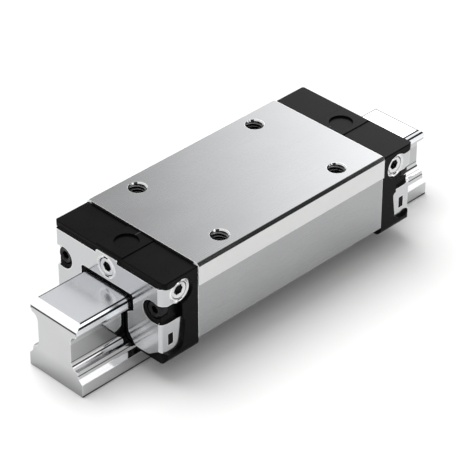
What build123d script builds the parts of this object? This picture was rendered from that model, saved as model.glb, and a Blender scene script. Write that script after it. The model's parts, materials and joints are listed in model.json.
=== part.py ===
from build123d import *
import os
from math import atan2, cos, degrees, hypot, pi, sin

# Ball runner block on a short guide rail, in millimetres.
# X runs along the rail, Y across it, Z up from the rail's foot.
# The origin is the middle of the rail's foot. Front is the -X end, left is the +Y side.

# Guide rail
RAIL_LENGTH = 150.0
RAIL_WIDTH = 23.0
RAIL_HEIGHT = 24.25         # foot to bare head
NECK_HALF = 10.1            # where the foot's slopes end
NECK_DOWN = 4.7             # from the lower row
FOOT_SLOPE = 1.4            # height of the foot's slopes
HEAD_HALF = 9.7
HEAD_LAND = 0.6             # from the upper groove's rim up to the head's side
HEAD_CHAMFER_ACROSS = 0.8
HEAD_CHAMFER_DOWN = 1.3
BEVEL_RUN = 2.3             # bevel on the top of each rail end
BEVEL_DROP = 1.9
RAIL_HOLE_PITCH = 60.0
RAIL_HOLES = 3
RAIL_HOLE = 7.0             # clears an M6 screw
RAIL_COUNTERBORE = 11.0
RAIL_COUNTERBORE_DEPTH = 9.0

# Cover strip, snapped over the rail's head
STRIP = 0.2
STRIP_SIDE = 3.1            # how far it comes down the head from its top

# Ball rows
BALL = 4.762
GROOVE_RATIO = 0.52         # groove radius over ball diameter
ROW_ACROSS = 9.6            # rows from the rail's middle plane
UPPER_ROW_DOWN = 6.45       # from the bare head
ROW_PITCH = 7.3
BALLS_PER_CIRCUIT = 38
BALL_PASSAGE = 0.44         # passages are this much wider than a ball

# Return bores, measured from their own row
LOWER_RETURN_OUT = 8.2
UPPER_RETURN_OUT = 7.6
RETURN_UP = 1.4

# Steel body
BLOCK_WIDTH = 48.0
STEEL_LENGTH = 79.5
FACE_UP = 11.75             # bare head up to the mounting face
REFERENCE_BAND = 7.5        # ground band down each side from the top
BAND_PROUD = 0.5
TOP_CHAMFER = 0.9
LEG_DOWN = 2.0              # lower row down to the body's underside
BODY_LOWER_CHAMFER = 1.0
CEILING_GAP = 1.55          # cover strip to the body's ceiling
HEAD_POCKET = 2.1           # rail head's side to the body's wall beside it
MOUNT_PITCH_X = 50.0
MOUNT_PITCH_Y = 35.0
MOUNT_THREAD = 6.0
MOUNT_DEPTH = 9.0

# Raceway inserts and ball retainers
INSERT_DEPTH = 4.0          # from the ball row out to the insert's back
INSERT_FOOT = 1.2           # from each row out to the insert's end
RETAINER_WAIST_GAP = 0.35   # middle retainer to the rail's waist
RETAINER_HEAD_GAP = 0.4     # upper retainer to the rail's head
RETAINER_TOP_GAP = 0.45     # upper retainer to the cover strip
SHOULDER_LOW = 3.4          # body's shoulder over the upper row, from the row
SHOULDER_HIGH = 4.2
LIP_GAP = 0.4               # lower retainer and side seal to the rail's neck
RETAINER_DOWN = 1.5         # body's underside down to the lower retainer's base
FLANGE_OUT = 5.0            # lower retainer's flange, out under the leg
FLANGE = 0.7
SIDE_SEAL_DOWN = 2.1        # body's underside down to the side seal's base
SIDE_SEAL_TAPER = 3.5

# End caps
TOTAL_LENGTH = 107.9        # over both end plates
SHEET = 0.85                # end plate
CAP_HALF = 23.5
CAP_DROP = 0.8              # mounting face down to the cap's top
CAP_DOWN = 2.4              # body's underside down to the cap's base
CAP_CORNER = 1.4
CAP_TOP_ROUND = 0.4
CAP_LOWER_ROUND = 2.5
CAP_RAIL_GAP = 0.8
PAD_HALF = 5.5              # raised pad over the top port
PAD_RISE = 0.25
TOP_PORT = 7.6
TOP_PORT_DEPTH = 0.6
TOP_PORT_INSET = 7.3        # cap's front face back to the top port

# Ports and screws
PORT_DOWN = 5.0             # cap's top down to the front port
SIDE_PORT_DOWN = 5.7
SIDE_PORT_INSET = 6.85      # cap's front face back to the side ports
PORT_SCREW = 5.8
PORT_SCREW_LENGTH = 5.0
PORT_HEX = 3.0
PORT_FIT = 0.1              # round each port screw
CAP_SCREW_ACROSS = 19.15
CAP_SCREW_UP = 6.6          # from the upper row
CAP_SCREW = 3.0
CAP_SCREW_HEAD = 5.5
CAP_SCREW_HEAD_HEIGHT = 3.0
CAP_SCREW_GRIP = 7.0        # thread inside the steel
CAP_SCREW_HEX = 2.5
HEX_DEPTH = 1.5
SCREW_FIT = 0.1

# Lube reservoir
FOAM_HALF = 12.9
FOAM_DEPTH = 7.0
FOAM_HEIGHT = 6.3
FOAM_DOWN = 1.8             # cap's top down to the foam
FIT = 0.1                   # moulded pieces in their pockets
TURN_FIT = 0.05

# End seal
SEAL_DEPTH = 1.6
SEAL_RIM = 1.4              # seal's flange beyond the plate's window
SEAL_INSET = 0.6            # flange's own opening inside the plate's window
SEAL_GAP = 0.25             # lip to rail
SEAL_LIP = 0.7              # lip forward of the cap's face
SEAL_UP = 1.3               # from the cap's base

# End plate, front sheet; window sizes are gaps to the rail
PLATE_HALF = 22.4
BEND_INSIDE = 0.25
PLATE_DROP = 1.9            # cap's top down to the plate's top
PLATE_UP = 1.7              # cap's base up to the plate's base
PLATE_RISE = 2.9            # from its base up to the foot of each bend
PLATE_RISE_AT = 17.2        # where that rise begins
PLATE_RISE_ROUND = 3.0
WINDOW_CORNER = 1.0
TAB_HALF = 4.5              # tab that stands up over the front port
TAB_RISE = 1.1
WINDOW_TOP_GAP = 1.25
WINDOW_SIDE_GAP = 1.25
WINDOW_WAIST_GAP = 1.5
WINDOW_FOOT_HALF = 11.6
CUTOUT_RADIUS = 3.75        # round each cap screw
CUTOUT_ACROSS = 19.0
CUTOUT_DROP = 0.3           # below the screw

# End plate, side wings; X sizes run back from the plate's front face
LOBE_RADIUS = 4.2
ARM_DROP = 0.7              # plate's top down to the arm's top
ARM_HEIGHT = 6.6
ARM_CORNER = 3.0            # where the arm's edges turn towards the plate's corner
WING_HEIGHT = 10.7
WING_UP = 3.1               # from the cap's base
WING_BACK = 9.0
WING_CORNER = 1.2
WING_FOOT = 7.6             # lower end of the slanted back edge
WING_FOOT_ROUND = 2.6
WING_RISE = 1.5             # base up to the foot of the bend
SLOT_BACK = 4.0             # centre of the catch slot
SLOT_UP = 4.85              # from the wing's base
SLOT_WIDTH = 2.0
SLOT_LENGTH = 3.9
CATCH_GAP = 0.25
SAME_PLACE = 0.001          # corners nearer a line than this lie on it

# Worked out from the sizes above
GROOVE = GROOVE_RATIO * BALL
BALL_CLEAR = (BALL + BALL_PASSAGE) / 2
UPPER_ROW = RAIL_HEIGHT - UPPER_ROW_DOWN
LOWER_ROW = UPPER_ROW - ROW_PITCH
NECK_HEIGHT = LOWER_ROW - NECK_DOWN
FOOT_SIDE = NECK_HEIGHT - FOOT_SLOPE
STRIP_TOP = RAIL_HEIGHT + STRIP
SYSTEM_HEIGHT = RAIL_HEIGHT + FACE_UP
BODY_UNDERSIDE = LOWER_ROW - LEG_DOWN
LOWER_RETAINER_BASE = BODY_UNDERSIDE - RETAINER_DOWN
SIDE_SEAL_BASE = BODY_UNDERSIDE - SIDE_SEAL_DOWN
CAP_TOP = SYSTEM_HEIGHT - CAP_DROP
CAP_BASE = BODY_UNDERSIDE - CAP_DOWN
PORT_HEIGHT = CAP_TOP - PORT_DOWN
SIDE_PORT_HEIGHT = CAP_TOP - SIDE_PORT_DOWN
CAP_SCREW_HEIGHT = UPPER_ROW + CAP_SCREW_UP
FOAM_TOP = CAP_TOP - FOAM_DOWN
FOAM_BASE = FOAM_TOP - FOAM_HEIGHT
SEAL_BASE = CAP_BASE + SEAL_UP
PLATE_TOP = CAP_TOP - PLATE_DROP
PLATE_BASE = CAP_BASE + PLATE_UP
TAB_TOP = PLATE_TOP + TAB_RISE
CUTOUT_HEIGHT = CAP_SCREW_HEIGHT - CUTOUT_DROP
ARM_TOP = PLATE_TOP - ARM_DROP
ARM_BASE = ARM_TOP - ARM_HEIGHT
WING_BASE = CAP_BASE + WING_UP
WING_TOP = WING_BASE + WING_HEIGHT
SLOT_HEIGHT = WING_BASE + SLOT_UP
STEEL_END = STEEL_LENGTH / 2
PLATE_FRONT = TOTAL_LENGTH / 2
CAP_FRONT = PLATE_FRONT - SHEET
SIDE_PORT_AT = CAP_FRONT - SIDE_PORT_INSET
INSERT_BACK = ROW_ACROSS + INSERT_DEPTH
CEILING = STRIP_TOP + CEILING_GAP
HEAD_WALL = HEAD_HALF + HEAD_POCKET
WAIST = ROW_ACROSS - GROOVE
LOWER = ((ROW_ACROSS, LOWER_ROW), (ROW_ACROSS + LOWER_RETURN_OUT, LOWER_ROW + RETURN_UP))
UPPER = ((ROW_ACROSS, UPPER_ROW), (ROW_ACROSS + UPPER_RETURN_OUT, UPPER_ROW + RETURN_UP))
INNER_HALF = PLATE_HALF - SHEET
SCREW_SEAT = CAP_FRONT + FIT - CAP_SCREW_HEAD_HEIGHT


def rounded(*corners):
    """A closed face from corners (u, v) or (u, v, radius), in order."""
    points = [corner[:2] for corner in corners]
    radii = [corner[2] if len(corner) > 2 else 0 for corner in corners]
    return make_face(FilletPolyline(*points, radius=radii, close=True))


def both_sides(half):
    """A face drawn on the +u side, joined to its mirror image."""
    return half + mirror(half, about=Plane.YZ)


def along(face, start, end):
    """Run a cross-section, drawn as (across, up), along the rail."""
    return extrude(Plane.YZ.offset(start) * face, amount=end - start, dir=(1, 0, 0))


def across(face, start, end):
    """Run a side view, drawn as (along, up), across the rail from start to end."""
    return extrude(Plane.XZ.offset(-start) * face, amount=end - start, dir=(0, 1, 0))


def upward(face, low, high):
    """Run a plan view upwards."""
    return extrude(Plane.XY.offset(low) * face, amount=high - low, dir=(0, 0, 1))


def rod(diameter, axis, centre, start, end):
    """A round bar between two places on one axis, with its centre given on the other two."""
    base = Circle(diameter / 2)
    if axis == "x":
        return along(Pos(*centre) * base, start, end)
    if axis == "y":
        return across(Pos(*centre) * base, start, end)
    return upward(Pos(*centre) * base, start, end)


def left_and_right(solid):
    return solid, mirror(solid, about=Plane.XZ)


def rail_outline(grow=0.0, cover=0.0):
    """The rail's cross-section; cover thickens the head, grow moves the whole outline out."""
    side = HEAD_HALF + cover
    top = RAIL_HEIGHT + cover
    corners = [
        (0, 0), (RAIL_WIDTH / 2, 0), (RAIL_WIDTH / 2, FOOT_SIDE), (NECK_HALF, NECK_HEIGHT),
        (ROW_ACROSS, LOWER_ROW - GROOVE),
    ]
    head = [
        (ROW_ACROSS, UPPER_ROW + GROOVE), (side, UPPER_ROW + GROOVE + HEAD_LAND),
        (side, top - HEAD_CHAMFER_DOWN), (side - HEAD_CHAMFER_ACROSS, top), (0, top),
    ]
    edges = [
        Polyline(*corners),
        CenterArc((ROW_ACROSS, LOWER_ROW), GROOVE, 180, 90),
        Line((WAIST, LOWER_ROW), (WAIST, UPPER_ROW)),
        CenterArc((ROW_ACROSS, UPPER_ROW), GROOVE, 90, 90),
        Polyline(*head),
        Line((0, top), (0, 0)),
    ]
    outline = both_sides(make_face(Wire([edge for part in edges for edge in part.edges()])))
    return offset(outline, amount=grow, kind=Kind.INTERSECTION) if grow else outline


def end_bevel(depth):
    """The wedge that bevels the top of the +X rail end, sunk by depth below its outside."""
    slope = hypot(BEVEL_RUN, BEVEL_DROP)
    sink = depth * slope / BEVEL_RUN
    rise = BEVEL_DROP / BEVEL_RUN
    low = STRIP_TOP - BEVEL_DROP - sink
    wedge = rounded(
        (RAIL_LENGTH / 2, low), (RAIL_LENGTH / 2 + BEVEL_RUN, low - BEVEL_DROP),
        (RAIL_LENGTH / 2 + BEVEL_RUN, STRIP_TOP + BEVEL_DROP),
        (RAIL_LENGTH / 2 - (2 * BEVEL_DROP + sink) / rise, STRIP_TOP + BEVEL_DROP),
    )
    return across(wedge, -RAIL_WIDTH, RAIL_WIDTH)


def with_both_ends(solid):
    return [solid, Rot(0, 0, 180) * solid]


def make_rail():
    rail = along(rail_outline(), -RAIL_LENGTH / 2, RAIL_LENGTH / 2)
    for wedge in with_both_ends(end_bevel(STRIP)):
        rail -= wedge
    for i in range(RAIL_HOLES):
        x = (i - (RAIL_HOLES - 1) / 2) * RAIL_HOLE_PITCH
        rail -= rod(RAIL_HOLE, "z", (x, 0), 0, RAIL_HEIGHT)
        rail -= rod(RAIL_COUNTERBORE, "z", (x, 0), RAIL_HEIGHT - RAIL_COUNTERBORE_DEPTH, RAIL_HEIGHT)
    return rail


def make_cover_strip():
    """Sheet over the head: down both sides, and bent down the bevel at each end."""
    low = STRIP_TOP - STRIP_SIDE
    reach = Pos(0, low + STRIP_SIDE) * Rectangle(RAIL_WIDTH, 2 * STRIP_SIDE)
    strip = along(rail_outline(cover=STRIP) & reach, -RAIL_LENGTH / 2, RAIL_LENGTH / 2)
    core = along(rail_outline() & reach, -RAIL_LENGTH / 2, RAIL_LENGTH / 2)
    for wedge in with_both_ends(end_bevel(0)):
        strip -= wedge
    for wedge in with_both_ends(end_bevel(STRIP)):
        core -= wedge
    return strip - core


def body_outline():
    """The steel body's cross-section: a thick portal over the rail."""
    half = BLOCK_WIDTH / 2
    side = half - BAND_PROUD
    band = SYSTEM_HEIGHT - REFERENCE_BAND
    return both_sides(rounded(
        (0, SYSTEM_HEIGHT), (half - TOP_CHAMFER, SYSTEM_HEIGHT), (half, SYSTEM_HEIGHT - TOP_CHAMFER),
        (half, band), (side, band - BAND_PROUD),
        (side, BODY_UNDERSIDE + BODY_LOWER_CHAMFER), (side - BODY_LOWER_CHAMFER, BODY_UNDERSIDE),
        (INSERT_BACK, BODY_UNDERSIDE), (INSERT_BACK, UPPER_ROW + SHOULDER_LOW),
        (HEAD_WALL, UPPER_ROW + SHOULDER_HIGH), (HEAD_WALL, CEILING), (0, CEILING),
    ))


def make_body():
    body = along(body_outline(), -STEEL_END, STEEL_END)
    for x in (-MOUNT_PITCH_X / 2, MOUNT_PITCH_X / 2):
        for y in (-MOUNT_PITCH_Y / 2, MOUNT_PITCH_Y / 2):
            body -= rod(MOUNT_THREAD, "z", (x, y), SYSTEM_HEIGHT - MOUNT_DEPTH, SYSTEM_HEIGHT)
    for side in (-1, 1):
        for row, back in (LOWER, UPPER):
            body -= rod(2 * BALL_CLEAR, "x", (side * back[0], back[1]), -STEEL_END, STEEL_END)
        for end in (-1, 1):
            reach = sorted((end * STEEL_END, end * (STEEL_END - CAP_SCREW_GRIP)))
            body -= rod(CAP_SCREW, "x", (side * CAP_SCREW_ACROSS, CAP_SCREW_HEIGHT), *reach)
    return body


def ball_channel(row):
    """Cross-section of the room that one row of balls keeps clear in plastic pieces."""
    return Pos(*row) * Circle(BALL_CLEAR)


def make_raceway_insert():
    """Left insert: a lower and an upper groove with the nose between them."""
    low, high = LOWER_ROW - INSERT_FOOT, UPPER_ROW + INSERT_FOOT
    rim = ROW_ACROSS + GROOVE
    edges = [
        CenterArc((ROW_ACROSS, LOWER_ROW), GROOVE, 0, 90),
        Line((ROW_ACROSS, LOWER_ROW + GROOVE), (ROW_ACROSS, UPPER_ROW - GROOVE)),
        CenterArc((ROW_ACROSS, UPPER_ROW), GROOVE, 270, 90),
        Polyline((rim, UPPER_ROW), (rim, high), (INSERT_BACK, high), (INSERT_BACK, low),
                 (rim, low), (rim, LOWER_ROW)),
    ]
    face = make_face(Wire([edge for part in edges for edge in part.edges()]))
    return along(face, -STEEL_END, STEEL_END)


def make_upper_retainer():
    """Plastic portal over the rail's head, whose feet close the outside of both upper rows."""
    inside = HEAD_HALF + STRIP + RETAINER_HEAD_GAP
    under = STRIP_TOP + RETAINER_TOP_GAP
    foot = UPPER_ROW + INSERT_FOOT
    half = rounded(
        (0, CEILING), (HEAD_WALL, CEILING), (HEAD_WALL, UPPER_ROW + SHOULDER_HIGH),
        (INSERT_BACK, UPPER_ROW + SHOULDER_LOW), (INSERT_BACK, foot), (ROW_ACROSS + BALL_CLEAR / 2, foot),
        (inside, UPPER_ROW + GROOVE), (inside, under), (0, under),
    )
    half -= ball_channel(UPPER[0])
    return along(both_sides(half), -STEEL_END, STEEL_END)


def make_middle_retainer():
    """Left strip between the two rows, in front of the insert's nose."""
    inside = WAIST + RETAINER_WAIST_GAP
    strip = rounded(
        (inside, LOWER_ROW), (ROW_ACROSS, LOWER_ROW), (ROW_ACROSS, UPPER_ROW), (inside, UPPER_ROW))
    for row in (LOWER[0], UPPER[0]):
        strip -= ball_channel(row)
    return along(strip, -STEEL_END, STEEL_END)


def make_lower_retainer():
    """Left strip under the lower row, flanged out below the body's leg."""
    inside = NECK_HALF + LIP_GAP / 2
    top = LOWER_ROW - INSERT_FOOT
    strip = rounded(
        (inside, LOWER_RETAINER_BASE), (INSERT_BACK, LOWER_RETAINER_BASE),
        (INSERT_BACK, BODY_UNDERSIDE - FLANGE), (INSERT_BACK + FLANGE_OUT, BODY_UNDERSIDE - FLANGE),
        (INSERT_BACK + FLANGE_OUT, BODY_UNDERSIDE), (INSERT_BACK, BODY_UNDERSIDE), (INSERT_BACK, top),
        (inside, top),
    )
    strip -= ball_channel(LOWER[0])
    return along(strip, -STEEL_END, STEEL_END)


def make_side_seal():
    """Left wiper along the underside, tapering to its lip beside the rail's neck."""
    inside = NECK_HALF + LIP_GAP / 2
    outside = INSERT_BACK + FLANGE_OUT
    face = rounded(
        (inside, LOWER_RETAINER_BASE), (inside + LIP_GAP, SIDE_SEAL_BASE),
        (outside - SIDE_SEAL_TAPER, SIDE_SEAL_BASE), (outside, LOWER_RETAINER_BASE),
        (outside, BODY_UNDERSIDE - FLANGE), (INSERT_BACK, BODY_UNDERSIDE - FLANGE),
        (INSERT_BACK, LOWER_RETAINER_BASE),
    )
    return along(face, -STEEL_END, STEEL_END)


def turn_frame(circuit):
    """Middle of a turn, its radius, and its tilt about X, from a row and its return."""
    (y0, z0), (y1, z1) = circuit
    radius = hypot(y1 - y0, z1 - z0) / 2
    return (y0 + y1) / 2, (z0 + z1) / 2, radius, degrees(atan2(z1 - z0, y1 - y0))


def ball_centres(circuit):
    """Ball centres, evenly spaced along the row, round a turn, back down the bore and round again."""
    y, z, radius, tilt = turn_frame(circuit)
    lap = 2 * STEEL_LENGTH + 2 * pi * radius
    for i in range(BALLS_PER_CIRCUIT):
        s = lap * i / BALLS_PER_CIRCUIT
        half, s = divmod(s, lap / 2)
        if s < STEEL_LENGTH:
            x, out = s - STEEL_END, -radius
        else:
            turn = (s - STEEL_LENGTH) / radius
            x, out = STEEL_END + radius * sin(turn), -radius * cos(turn)
        flip = -1 if half else 1
        yield Pos(0, y, z) * Rot(tilt, 0, 0) * Pos(flip * x, flip * out, 0)


def ball_form():
    """One ball, as an icosahedron whose corners lie on the ball, because so many repeat."""
    golden = (1 + 5 ** 0.5) / 2
    reach = BALL / 2 / hypot(1, golden)
    corners = []
    for a in (-reach, reach):
        for b in (-reach * golden, reach * golden):
            corners += [(0, a, b), (a, b, 0), (b, 0, a)]
    return ConvexPolyhedron(corners)


def make_balls(circuit):
    ball = ball_form()
    return Compound([place * ball for place in ball_centres(circuit)])


def turn_slug(circuit, radius, half_width):
    """A half disc standing on the body's +X face in the plane of one circuit's turn."""
    y, z, _, tilt = turn_frame(circuit)
    disc = Cylinder(radius, 2 * half_width) & Pos(radius, 0) * Box(2 * radius, 2 * radius, 2 * half_width)
    return Pos(STEEL_END, y, z) * Rot(tilt, 0, 0) * disc


def make_turn_guides():
    """Half round guides that the balls turn round at the rear end."""
    guides = []
    for circuit in (LOWER, UPPER):
        radius = turn_frame(circuit)[2] - BALL_CLEAR - TURN_FIT
        guides += left_and_right(turn_slug(circuit, radius, BALL_CLEAR - TURN_FIT))
    return Compound(guides)


def foam_face(grow=0.0):
    width, height = 2 * (FOAM_HALF + grow), FOAM_TOP - FOAM_BASE + 2 * grow
    return Pos(0, (FOAM_BASE + FOAM_TOP) / 2) * Rectangle(width, height)


def make_reservoir():
    return along(foam_face(), STEEL_END, STEEL_END + FOAM_DEPTH)


def window(inset=0.0):
    """The end plate's opening for the rail; inset draws it in, nearer the rail."""
    top = STRIP_TOP + WINDOW_TOP_GAP - inset
    side = HEAD_HALF + STRIP + WINDOW_SIDE_GAP - inset
    waist = WAIST + WINDOW_WAIST_GAP - inset
    foot = WINDOW_FOOT_HALF - inset
    chin = UPPER_ROW + GROOVE
    return both_sides(rounded(
        (0, top), (side, top, WINDOW_CORNER), (side, chin), (waist, chin - WINDOW_WAIST_GAP),
        (waist, LOWER_ROW + WINDOW_WAIST_GAP), (foot, PLATE_BASE), (foot, 0), (0, 0),
    ))


def seal_flange(grow=0.0):
    """Outline of the seal's flange in the cap's front pocket."""
    half = WINDOW_FOOT_HALF + SEAL_RIM + grow
    top = STRIP_TOP + WINDOW_TOP_GAP + SEAL_RIM + grow
    return rounded((-half, SEAL_BASE - grow), (half, SEAL_BASE - grow), (half, top), (-half, top))


def make_end_seal():
    """Rubber seal held in the cap by the plate, its lip standing forward in the window."""
    flange = seal_flange() - window(SEAL_INSET)
    lip = (window(FIT) & seal_flange(FIT)) - rail_outline(SEAL_GAP, STRIP)
    return along(flange, CAP_FRONT - SEAL_DEPTH, CAP_FRONT) + along(lip, CAP_FRONT, CAP_FRONT + SEAL_LIP)


def sheet_block(half, front, corner):
    """Plan view of the end's outside or inside skin, run over the full height."""
    plan = rounded((0, -half), (front, -half, corner), (front, half, corner), (0, half))
    return upward(plan, 0, CAP_TOP + PAD_RISE)


def upper_wrap():
    """Side view of the upper wing: an arm from the corner back to the round port lobe."""
    bend = PLATE_FRONT - ARM_CORNER
    arm = rounded(
        (PLATE_FRONT, PLATE_TOP), (bend, ARM_TOP), (SIDE_PORT_AT, ARM_TOP), (SIDE_PORT_AT, ARM_BASE),
        (bend, ARM_BASE), (PLATE_FRONT, ARM_BASE + 2 * ARM_DROP),
    )
    centre = Vector(SIDE_PORT_AT, SIDE_PORT_HEIGHT)
    face = arm + Pos(*centre) * Circle(LOBE_RADIUS)
    joins = [v for v in face.vertices() if abs((v.center() - centre).length - LOBE_RADIUS) < SAME_PLACE]
    return fillet(joins, LOBE_RADIUS / 3)


def lower_wrap():
    """Side view of the lower wing, its slanted back edge rounded into the base."""
    back = PLATE_FRONT - WING_BACK
    bend = PLATE_FRONT - ARM_CORNER
    foot = PLATE_FRONT - WING_FOOT
    return rounded(
        (PLATE_FRONT, WING_TOP + ARM_DROP), (bend, WING_TOP), (back, WING_TOP, WING_CORNER),
        (foot, WING_BASE, WING_FOOT_ROUND), (bend, WING_BASE), (PLATE_FRONT, WING_BASE + WING_RISE),
    )


def catch_slot(grow=0.0):
    width, length = SLOT_WIDTH / 2 - grow, SLOT_LENGTH / 2 - grow
    return Pos(PLATE_FRONT - SLOT_BACK, SLOT_HEIGHT) * rounded(
        (-width, -length), (width, -length), (width, length), (-width, length))


def front_sheet_face():
    """Front view of the end plate inside its bends."""
    edge = PLATE_HALF - SHEET - BEND_INSIDE
    sheet = both_sides(rounded(
        (0, TAB_TOP), (TAB_HALF, TAB_TOP, (TAB_TOP - PLATE_TOP) / 2), (TAB_HALF, PLATE_TOP),
        (edge, PLATE_TOP), (edge, PLATE_BASE + PLATE_RISE), (PLATE_RISE_AT, PLATE_BASE, PLATE_RISE_ROUND),
        (0, PLATE_BASE),
    ))
    for side in (-1, 1):
        sheet -= Pos(side * CUTOUT_ACROSS, CUTOUT_HEIGHT) * Circle(CUTOUT_RADIUS)
        sheet -= rounded(
            (side * CUTOUT_ACROSS, CUTOUT_HEIGHT - CUTOUT_RADIUS), (side * edge, WING_TOP + ARM_DROP),
            (side * edge, ARM_BASE + 2 * ARM_DROP), (side * CUTOUT_ACROSS, CUTOUT_HEIGHT + CUTOUT_RADIUS))
    sheet -= Pos(0, PORT_HEIGHT) * Circle(PORT_SCREW / 2 + PORT_FIT)
    return sheet - window()


def make_end_plate():
    """Polished sheet over the cap's front, its wings bent back along both sides."""
    bend = BEND_INSIDE + SHEET
    edge = PLATE_HALF - bend
    channel = sheet_block(PLATE_HALF, PLATE_FRONT, bend) - sheet_block(INNER_HALF, CAP_FRONT, BEND_INSIDE)
    plate = along(front_sheet_face(), CAP_FRONT, PLATE_FRONT)
    for side in (-1, 1):
        low, high = sorted((side * edge, side * PLATE_HALF))
        wings = across(upper_wrap(), low, high) + across(lower_wrap(), low, high)
        wings &= channel
        plate += wings
    plate -= rod(PORT_SCREW + 2 * PORT_FIT, "y", (SIDE_PORT_AT, SIDE_PORT_HEIGHT), -PLATE_HALF, PLATE_HALF)
    return plate - across(catch_slot(), -PLATE_HALF, PLATE_HALF)


def cap_block():
    """The end cap's outside, from its front, plan and side outlines; the pad runs to the front."""
    pad = CAP_TOP + PAD_RISE
    front = both_sides(rounded(
        (0, CAP_BASE), (CAP_HALF, CAP_BASE, CAP_LOWER_ROUND), (CAP_HALF, CAP_TOP, CAP_TOP_ROUND),
        (PAD_HALF, CAP_TOP), (PAD_HALF, pad), (0, pad)))
    side = rounded((0, 0), (CAP_FRONT, 0), (CAP_FRONT, pad, CAP_TOP_ROUND + PAD_RISE), (0, pad))
    block = along(front, STEEL_END, CAP_FRONT) & sheet_block(CAP_HALF, CAP_FRONT, CAP_CORNER)
    return block & across(side, -BLOCK_WIDTH, BLOCK_WIDTH)


def cap_opening():
    """The cap's opening round the rail, straight past the rail's grooves."""
    top = STRIP_TOP + CAP_RAIL_GAP
    head = HEAD_HALF + STRIP + CAP_RAIL_GAP
    neck = NECK_HALF + CAP_RAIL_GAP
    foot = RAIL_WIDTH / 2 + CAP_RAIL_GAP
    waist = WAIST + CAP_RAIL_GAP
    return both_sides(rounded(
        (0, top), (head, top), (head, UPPER_ROW + GROOVE), (waist, UPPER_ROW), (waist, LOWER_ROW),
        (neck, LOWER_ROW - GROOVE), (neck, NECK_HEIGHT), (foot, FOOT_SIDE), (foot, 0), (0, 0),
    ))


def wing_recess(side):
    """Side pocket that the plate's wings lie in, run on between them round the cap screw."""
    back = SIDE_PORT_AT
    between = rounded((back, WING_TOP - FIT), (PLATE_FRONT, WING_TOP - FIT),
                      (PLATE_FRONT, ARM_BASE + LOBE_RADIUS / 2), (back, ARM_BASE + LOBE_RADIUS / 2))
    outline = offset(upper_wrap() + lower_wrap() + between, amount=FIT, kind=Kind.INTERSECTION)
    low, high = sorted((side * (INNER_HALF - CAP_CORNER), side * (CAP_HALF + FIT)))
    return across(outline, low, high) - sheet_block(INNER_HALF, CAP_FRONT, BEND_INSIDE)


def make_end_cap():
    """Moulded cap for the rear end: ball turns, reservoir, ports, screw seats and seal pocket."""
    cap = cap_block()
    pad = CAP_TOP + PAD_RISE
    cap -= rod(TOP_PORT, "z", (CAP_FRONT - TOP_PORT_INSET, 0), pad - TOP_PORT_DEPTH, pad)
    for circuit in (LOWER, UPPER):
        pocket = turn_slug(circuit, turn_frame(circuit)[2] + BALL_CLEAR, BALL_CLEAR)
        for cut in left_and_right(pocket):
            cap -= cut
    cap -= along(cap_opening(), STEEL_END, CAP_FRONT)
    cap -= along(foam_face(FIT), STEEL_END, STEEL_END + FOAM_DEPTH + FIT)
    cap -= along(seal_flange(FIT), CAP_FRONT - SEAL_DEPTH, CAP_FRONT)
    cap -= rod(PORT_SCREW, "x", (0, PORT_HEIGHT), STEEL_END + FOAM_DEPTH, CAP_FRONT)
    for side in (-1, 1):
        cap -= wing_recess(side)
        span = sorted((side * FOAM_HALF, side * CAP_HALF))
        cap -= rod(PORT_SCREW, "y", (SIDE_PORT_AT, SIDE_PORT_HEIGHT), *span)
        hole = (side * CAP_SCREW_ACROSS, CAP_SCREW_HEIGHT)
        cap -= rod(CAP_SCREW + 2 * SCREW_FIT, "x", hole, STEEL_END, CAP_FRONT)
        cap -= rod(CAP_SCREW_HEAD + 4 * SCREW_FIT, "x", hole, SCREW_SEAT, CAP_FRONT)
        catch = sorted((side * (INNER_HALF - SHEET), side * (PLATE_HALF - FIT)))
        cap += across(catch_slot(CATCH_GAP), *catch)
    return cap


def make_cap_screws():
    """Two socket head screws through the rear cap into the steel."""
    screws = []
    for side in (-1, 1):
        centre = (side * CAP_SCREW_ACROSS, CAP_SCREW_HEIGHT)
        front = SCREW_SEAT + CAP_SCREW_HEAD_HEIGHT
        screw = rod(CAP_SCREW_HEAD, "x", centre, SCREW_SEAT, front)
        screw += rod(CAP_SCREW, "x", centre, STEEL_END - CAP_SCREW_GRIP, SCREW_SEAT)
        socket = Pos(*centre) * RegularPolygon(CAP_SCREW_HEX / 2, 6, major_radius=False)
        screws.append(screw - along(socket, front - HEX_DEPTH, front))
    return Compound(screws)


def make_port_screws():
    """Three socket set screws that close the rear cap's front and side ports."""
    hexagon = RegularPolygon(PORT_HEX / 2, 6, major_radius=False)
    front = rod(PORT_SCREW, "x", (0, PORT_HEIGHT), PLATE_FRONT - PORT_SCREW_LENGTH, PLATE_FRONT)
    front -= along(Pos(0, PORT_HEIGHT) * hexagon, PLATE_FRONT - PORT_SCREW_LENGTH / 2, PLATE_FRONT)
    centre = (SIDE_PORT_AT, SIDE_PORT_HEIGHT)
    left = rod(PORT_SCREW, "y", centre, PLATE_HALF - PORT_SCREW_LENGTH, PLATE_HALF)
    left -= across(Pos(*centre) * hexagon, PLATE_HALF - PORT_SCREW_LENGTH / 2, PLATE_HALF)
    return Compound([front, *left_and_right(left)])


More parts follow.
